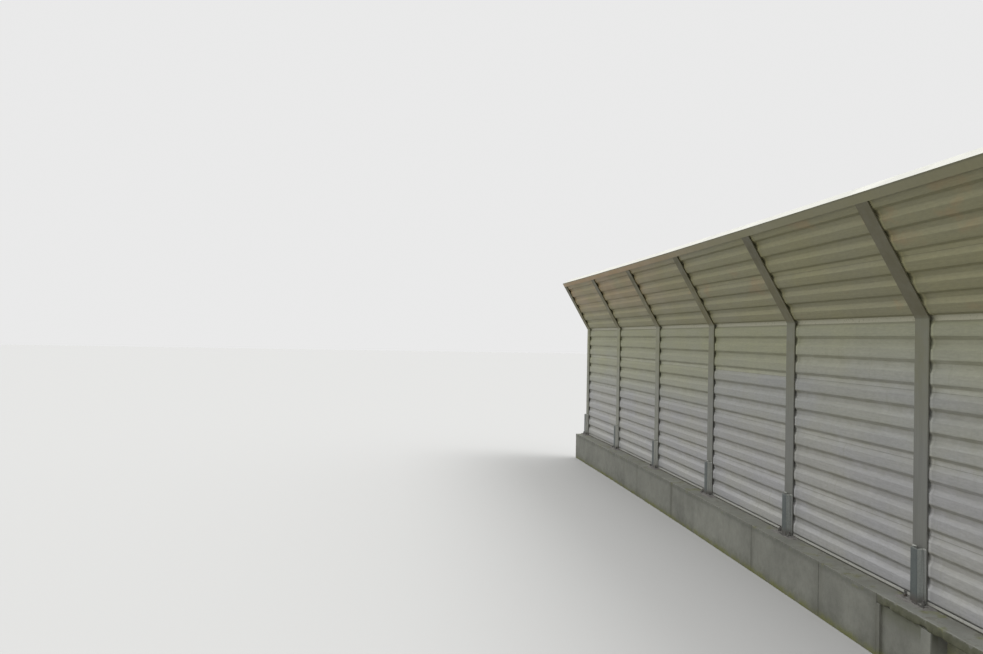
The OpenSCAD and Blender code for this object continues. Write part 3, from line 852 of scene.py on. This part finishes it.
def anchor_bolts(steel):
    """Four anchor bolts at the corners of each base plate: washer, nut and the end of the threaded bar."""
    reach_x, reach_y = 0.132, 0.142
    washer = [(0.0185, 0.0), (0.0185, 0.003)]
    nut = [(0.0165, 0.003), (0.0173, 0.005), (0.0173, 0.019), (0.0152, 0.021)]
    nut_top = 0.021
    bar_r, thread_depth, thread_pitch = 0.01, 0.0009, 0.0022
    tip_r, tip_h = 0.0078, 0.002
    shape = Shape()
    for j in range(BAYS + 1):
        for sx in (-1, 1):
            for sy in (-1, 1):
                spot = post_frame(j) @ Matrix.Translation((sx * reach_x, sy * reach_y, PLATE_TOP))
                spot = spot @ Matrix.Rotation(random.uniform(0, 1), 4, "Z")
                shape.turned(washer, 20, spot)
                shape.turned(nut, 6, spot)
                tall = random.uniform(0.036, 0.048)
                turns = range(int((tall - nut_top) / thread_pitch))
                thread = [(bar_r - thread_depth * (k % 2), nut_top + thread_pitch * k) for k in turns]
                shape.turned(thread + [(tip_r, tall + tip_h)], 14, spot)
    shape.piece("anchor_bolts", steel, 30)


def mortar_beds(mortar):
    """A trowelled bed of mortar over each base plate, thin at its rim and lower under the channel."""
    cells = 36
    row = cells + 1
    reach_x, reach_y = 0.25, 0.225
    end_reach = PLINTH_OVER - 0.006
    bed, rim_z, under_channel = PLATE_TOP + 0.0045, PLINTH_TOP - 0.004, PLATE_TOP - 0.002
    channel_front, channel_back = -0.095, -0.035
    raggedness, level_part, rim_part = 0.16, 0.66, 0.28
    grit = ((0.0035, 38), (0.0015, 110))
    shape = Shape()
    for j in range(BAYS + 1):
        verts = []
        for iy in range(row):
            for ix in range(row):
                x = (2 * ix / cells - 1) * reach_x
                if (j == 0 and x < 0) or (j == BAYS and x > 0):
                    x *= end_reach / reach_x
                y = (2 * iy / cells - 1) * reach_y
                wobble = noise.noise(Vector((x * 9, y * 9, j * 3.7)))
                rim = max(abs(x) / reach_x, abs(y) / reach_y) + raggedness * wobble
                fall = min(1.0, max(0.0, (rim - level_part) / rim_part))
                fall = fall * fall * (3 - 2 * fall)
                rough = sum(size * noise.noise(Vector((x * fine, y * fine, j))) for size, fine in grit)
                z = bed * (1 - fall) + rim_z * fall + rough
                if channel_front < y < channel_back:
                    z = min(z, under_channel)
                verts.append((x, y, z))
        corners = [iy * row + ix for iy in range(cells) for ix in range(cells)]
        shape.add(verts, [[a, a + 1, a + 1 + row, a + row] for a in corners], post_frame(j))
    shape.piece("mortar_beds", mortar, 60)


def coping_rows():
    """Section of the coping as (out, z), from its back round the underside, the edge and the ledge."""
    front, high, foot = PLINTH_FRONT, PLINTH_TOP, PLINTH_TOP - COPING_T
    arris = 0.004
    under = [(0.16 + 0.0125 * k, foot) for k in range(12)] + [(front - arris, foot), (front, foot + arris)]
    face = [(front, foot + arris + 0.0108 * k) for k in range(1, 7)] + [(front, high - 0.011)]
    nose = [(front - 0.0015, high - 0.005), (front - 0.005, high - 0.0015), (front - 0.011, high)]
    ledge = [(front - 0.02 - 0.0165 * k, high) for k in range(8)]
    back = [(0.0, high), (-PLINTH_BACK, high)]
    return [(-PLINTH_BACK, foot), (0.0, foot)] + under + face + nose + ledge + back


def rough_coping(concrete):
    """The coping with a worn edge: hollows along its front, and chips out of its lower corner."""
    start, end, step = COPING_START, BAYS * BAY_LEN + PLINTH_OVER, 0.012
    foot = PLINTH_TOP - COPING_T
    reach = 0.05
    hollow_d, grit_d, chip_h, drop_h = 0.004, 0.003, 0.022, 0.002
    rows = coping_rows()
    count = math.ceil((end - start) / step)
    verts = []
    for i in range(count + 1):
        chain = start + (end - start) * i / count
        place = wall_place(chain)
        hollow = 0.5 + 0.5 * noise.noise(Vector((chain * 4.5, 3.1, 0.0)))
        chip = max(0.0, noise.noise(Vector((chain * 11.0, 8.4, 0.0))))
        chip += 0.4 * max(0.0, noise.noise(Vector((chain * 37.0, 1.7, 0.0))))
        for out, z in rows:
            near = max(0.0, 1 - (PLINTH_FRONT - out) / reach)
            grit = abs(noise.noise(Vector((chain * 46, z * 60, out * 46))))
            worn = near * (hollow_d * hollow + grit_d * grit)
            lift = 0.0
            if z < foot + reach:
                lift = chip_h * chip * near * max(0.0, 1 - (z - foot) / reach)
            drop = 0.0
            if z > PLINTH_TOP - drop_h:
                drop = drop_h * near * noise.noise(Vector((chain * 22, out * 22, 5.0)))
            y = -(out - worn - 0.6 * lift)
            verts.append(place @ Vector((0, y, z + lift - abs(drop))))
    shape = Shape()
    shape.add(verts, tube(count, len(rows), flip=True))
    coping = shape.piece("rough_coping", concrete, 50)
    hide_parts("coping")


def joint_fillers(filler):
    """A sagging bead of filler in each joint between two pours, on the face of the plinth."""
    half_w, sag, set_back, foot_gap = 0.0045, 0.0035, 0.006, 0.004
    steps = [math.pi * k / 6 for k in range(7)]
    ring = [(half_w * math.cos(a), -sag * math.sin(a)) for a in reversed(steps)]
    shape = Shape()
    for chain in JOINTS:
        place = wall_place(chain) @ Matrix.Translation((0, -PLINTH_FRONT + set_back, 0))
        shape.prism(ring, foot_gap, PLINTH_TOP - set_back, place)
    shape.piece("joint_fillers", filler, 40)


def foot_seals(seal_and_shade):
    """A pressed foam seal between the ledge and each foot channel; its dark colour is partly painted shade in
    the gap under the channel.
    """
    shape = Shape()
    lie_along = Matrix(((0, 0, 1, 0), (1, 0, 0, 0), (0, 1, 0, 0), (0, 0, 0, 1)))
    thick = PLATE_TOP - PLINTH_TOP
    bulge = [(-0.0025 * math.sin(math.pi * k / 6), thick * k / 6) for k in range(7)]
    outline = [(SEAL_W, 0.0), (SEAL_W, thick)] + list(reversed(bulge))
    for bay in range(BAYS):
        place = bay_frame(bay) @ Matrix.Translation((0, CREST_Y + SEAL_INSET, PLINTH_TOP)) @ lie_along
        shape.prism(outline, SEAL_FROM_POST, BAY_LEN - SEAL_FROM_POST, place)
    shape.piece("foot_seals", seal_and_shade, 40)


def weld_beads(coat, zinc):
    """Mitre welds where the posts are cranked, and the welds that hold the shoes and the posts' feet."""
    mitre = math.tan(HEAD_LEAN / 2)
    painted = Shape()
    bare = Shape()
    half = POST_W / 2
    proud = 0.001
    front_r, back_r, web_r, foot_r = 0.0022, 0.0035, 0.003, 0.005
    lip_r, top_r, toe_r, shoe_ripple = 0.0032, 0.0035, 0.004, 0.009
    back_bend = FOLD_Z + POST_D * mitre
    front_root = (FRONT_Y + FLANGE_T, FOLD_Z + FLANGE_T * mitre)
    back_root = (-FRONT_Y - FLANGE_T, back_bend - FLANGE_T * mitre)
    lip_y, shoe_y = FRONT_Y - proud, FRONT_Y - SHOE_D - proud
    for j in range(BAYS + 1):
        spot = post_frame(j)
        painted.bead((-half, FRONT_Y, FOLD_Z), (half, FRONT_Y, FOLD_Z), front_r, spot)
        painted.bead((-half, -FRONT_Y, back_bend), (half, -FRONT_Y, back_bend), back_r, spot)
        for side in (-1, 1):
            web = side * (WEB_T / 2)
            painted.bead((web, *front_root), (web, *back_root), web_r, spot)
            lip = side * SHOE_REACH
            low, high = PLATE_TOP + 0.02, SHOE_TOP - 0.004
            bare.bead((lip, FRONT_Y, low), (lip, FRONT_Y, high), lip_r, spot, shoe_ripple)
            toe = SHOE_SHIFT + side * (SHOE_W / 2)
            bare.bead((toe, lip_y, SHOE_TOP), (lip, lip_y, SHOE_TOP), top_r, spot, shoe_ripple)
            outer, inner = SHOE_SHIFT + side * 0.038, SHOE_SHIFT + side * 0.004
            bare.bead((outer, shoe_y, PLATE_TOP), (inner, shoe_y, PLATE_TOP), toe_r, spot)
        painted.bead((-half, -FRONT_Y + proud, PLATE_TOP), (half, -FRONT_Y + proud, PLATE_TOP), foot_r, spot)
    painted.piece("post_welds", coat, 50)
    bare.piece("shoe_welds", zinc, 50)


def hex_bolt(shape, spot, across, head, washer_r):
    """A hexagon head on a washer, looking along the spot's Z. head is how far it stands above the spot."""
    washer_t = 0.0018
    shape.turned([(washer_r, 0.0), (washer_r, washer_t)], 18, spot)
    corner = across / 2 / math.cos(math.pi / 6)
    turn = random.uniform(0, 1)
    crown = (corner * 0.88, head + across * 0.06)
    shape.turned([(corner, washer_t), (corner, head), crown], 6, spot, turn)


def cleat_bolts(steel):
    """Bolts that hold the cleats to the webs of the posts."""
    shape = Shape()
    size = (0.018, 0.0095, 0.012)
    depth = SHEET_SETBACK + RIB_DEPTH + SHEET_T
    face = WEB_T / 2 + 0.005
    behind = 0.03
    wall_heights = [PLATE_TOP + 0.2 + k * 0.52 for k in range(5)]
    head_heights = [0.14 + k * 0.4 for k in range(3)]
    for j in range(BAYS + 1):
        for side in (-1, 1):
            if not 0 <= j + side <= BAYS:
                continue
            turn = Matrix.Rotation(side * math.pi / 2, 4, "Y")
            for z in wall_heights:
                local = Matrix.Translation((side * face, FRONT_Y + depth + behind, z))
                hex_bolt(shape, post_frame(j) @ local @ turn, *size)
            for z in head_heights:
                local = Matrix.Translation((side * face, depth + behind, z))
                hex_bolt(shape, post_frame(j) @ HEAD @ local @ turn, *size)
    shape.piece("cleat_bolts", steel, 30)


def cap_screws(steel):
    """Screws through the back leg of the caps into the flanges, and a bolt in each channel clip."""
    shape = Shape()
    turn_back = Matrix.Rotation(-math.pi / 2, 4, "X")
    screw, clip_bolt = (0.01, 0.006, 0.009), (0.013, 0.009, 0.0095)
    from_web, below_top = 0.06, 0.045
    clip_spot = (BAY_LEN - 0.22, CREST_Y - 0.0205, PLINTH_TOP + 0.003)
    for j in range(BAYS + 1):
        for side in (-1, 1):
            local = Matrix.Translation((side * from_web, POST_D + CAP_T, HEAD_LEN - below_top))
            hex_bolt(shape, post_frame(j) @ HEAD @ local @ turn_back, *screw)
    for bay in range(BAYS):
        hex_bolt(shape, bay_frame(bay) @ Matrix.Translation(clip_spot), *clip_bolt)
    shape.piece("small_bolts", steel, 30)


def soften(width, *nodes):
    """Rounds the edges of carried-over solids a little, as the real ones are."""
    for node in nodes:
        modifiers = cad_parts[node].modifiers
        modifiers.new("weld", "WELD").merge_threshold = 0.00002
        bevel = modifiers.new("bevel", "BEVEL")
        bevel.width = width
        bevel.segments = 2
        bevel.limit_method = "ANGLE"
        bevel.angle_limit = math.radians(20)


def paint(material, *nodes):
    for node in nodes:
        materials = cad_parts[node].data.materials
        materials.clear()
        materials.append(material)


def numbered(stem, count):
    return [f"{stem}_{n}" for n in range(1, count + 1)]


def make_wall():
    """Makes the finishes and pieces. The order counts, as the pieces share one row of random numbers."""
    wall_stops = [
        (0.1, srgb(142, 142, 141)), (0.5, srgb(135, 135, 134)), (1.0, srgb(131, 131, 129)),
        (1.5, srgb(129, 130, 125)), (1.75, srgb(125, 126, 122)), (2.0, srgb(128, 129, 117)),
        (2.2, srgb(124, 125, 107)), (WALL_H, srgb(122, 123, 101)),
    ]
    head_stops = [(0.0, srgb(114, 112, 87)), (1.2, srgb(110, 108, 81))]
    wall_coat = sheet_finish("wall_coating", wall_stops, WALL_RIB_Z - PLINTH_TOP, 1.1, 0.35, 0.0)
    head_coat = sheet_finish("head_coating", head_stops, HEAD_RIB_S, 1.18, 0.12, 0.55)
    films = (srgb(102, 102, 78), srgb(88, 84, 56), srgb(84, 81, 62))
    post_paint = post_finish("post_paint", srgb(99, 100, 96), *films)
    zinc = zinc_finish("shoe_zinc", srgb(83, 89, 88), srgb(131, 133, 130), srgb(142, 146, 143))
    ribbed_sheets(wall_coat, head_coat)
    posts = numbered("post", BAYS + 1)
    paint(post_paint, "sheet_cleats", *posts)
    soften(0.0015, *posts)
    paint(cap_finish(), *numbered("cap", BAYS))
    paint(strip_finish("fold_strip_coating", srgb(144, 143, 124), srgb(104, 100, 78)), "fold_trims")
    paint(strip_finish("foot_channel_coating", srgb(160, 160, 154), srgb(112, 108, 96)), "foot_channels")
    steel = rust_finish("rusty_steel", srgb(92, 91, 88), srgb(80, 70, 62), 0.06)
    paint(steel, "base_plates", "channel_clips")
    post_shoes(zinc)
    anchor_bolts(steel)
    mortar_beds(mortar_finish())
    weld_beads(post_paint, zinc)
    cleat_bolts(rust_finish("bolt_zinc", srgb(120, 120, 118), srgb(96, 72, 54), -0.02))
    cap_screws(rust_finish("screw_steel", srgb(106, 105, 102), srgb(84, 74, 66), 0.02))
    plinth_face = [
        (0.0, srgb(94, 95, 83)), (0.05, srgb(104, 105, 96)), (0.16, srgb(111, 112, 105)),
        (0.48, srgb(111, 112, 105)), (0.525, srgb(97, 98, 91)), (0.55, srgb(104, 105, 98)),
    ]
    coping_face = [
        (0.48, srgb(72, 73, 57)), (0.515, srgb(84, 85, 70)),
        (0.545, srgb(84, 85, 72)), (0.56, srgb(102, 103, 95)),
    ]
    plinth_ledge = (srgb(118, 118, 111), srgb(120, 121, 114))
    coping_ledge = (srgb(119, 119, 112), srgb(123, 124, 118))
    plinths = numbered("plinth", BAYS)
    paint(concrete_finish("plinth_concrete", plinth_face, plinth_ledge, 1.0, 0.5), *plinths)
    soften(0.004, *plinths)
    rough_coping(concrete_finish("coping_concrete", coping_face, coping_ledge, 0.0, 0.7))
    joint_fillers(filler_finish("joint_filler", srgb(62, 61, 56)))
    # The seals' dark colour is partly painted shade under the foot channels
    foot_seals(filler_finish("foot_seal", srgb(84, 82, 75)))


def make_camera():
    """The camera at the photograph's viewpoint, off the wall's near end and looking back along it.

    It is set out from the sixth post, in line with the bay before it.
    """
    bay = bay_frame(MID + 1).to_3x3()
    along = bay @ Vector((1, 0, 0))
    across = bay @ Vector((0, 1, 0))
    corner = post_frame(MID + 2) @ Vector((POST_W / 2, FRONT_Y, 0))
    eye = corner + along * EYE_BACK - across * EYE_OUT
    eye.z = FOLD_Z - EYE_BELOW_FOLD
    level = -along * math.cos(VIEW_YAW) + across * math.sin(VIEW_YAW)
    right = along * math.sin(VIEW_YAW) + across * math.cos(VIEW_YAW)
    ahead = level * math.cos(VIEW_UP) + Vector((0, 0, math.sin(VIEW_UP)))
    up = right.cross(ahead)
    rolled_right = right * math.cos(VIEW_ROLL) + up * math.sin(VIEW_ROLL)
    rolled_up = up * math.cos(VIEW_ROLL) - right * math.sin(VIEW_ROLL)
    data = bpy.data.cameras.new("camera")
    data.lens = LENS
    data.clip_end = 500
    camera = bpy.data.objects.new("camera", data)
    turn = Matrix((rolled_right, rolled_up, -ahead)).transposed()
    camera.matrix_world = Matrix.Translation(eye) @ turn.to_4x4()
    bpy.context.scene.collection.objects.link(camera)
    bpy.context.scene.camera = camera


def make_floor():
    """A wide pale floor. The light that it throws back up is a little warmer than it looks."""
    corners = [(x * FLOOR_REACH, y * FLOOR_REACH, 0) for x, y in ((-1, -1), (1, -1), (1, 1), (-1, 1))]
    mesh = bpy.data.meshes.new("floor")
    mesh.from_pydata(corners, [], [(0, 1, 2, 3)])
    floor = bpy.data.objects.new("floor", mesh)
    f = Finish("floor", specular=0.0)
    mesh.materials.append(f.done(f.mix(f.shown_directly(), FLOOR_LIT, FLOOR_SHOWN), 1.0))
    bpy.context.scene.collection.objects.link(floor)


def make_light():
    """An overcast studio sky, brighter overhead, and one soft high lamp from behind the wall."""
    world = bpy.data.worlds.new("studio")
    bpy.context.scene.world = world
    world.use_nodes = True
    w = Nodes(world.node_tree)
    height = w.axes(w.node("ShaderNodeTexCoord").outputs["Generated"])[2]
    sky = w.node("ShaderNodeMapRange", {"Value": height, "To Min": SKY_LOW, "To Max": SKY_HIGH}).outputs[0]
    strength = w.node("ShaderNodeMix", {0: w.shown_directly(), 2: sky, 3: SKY_SHOWN}, data_type="FLOAT")
    background = w.tree.nodes["Background"].inputs
    w.feed(background["Color"], (1, 1, 1, 1))
    w.feed(background["Strength"], strength.outputs[0])
    data = bpy.data.lights.new("high_lamp", "SUN")
    data.energy = LAMP_ENERGY
    data.angle = LAMP_SPREAD
    lamp = bpy.data.objects.new("high_lamp", data)
    lamp.rotation_euler = Vector(LAMP_AIM).to_track_quat("-Z", "Y").to_euler()
    bpy.context.scene.collection.objects.link(lamp)


make_camera()
make_wall()
make_floor()
make_light()
bpy.context.scene.view_settings.view_transform = "Standard"
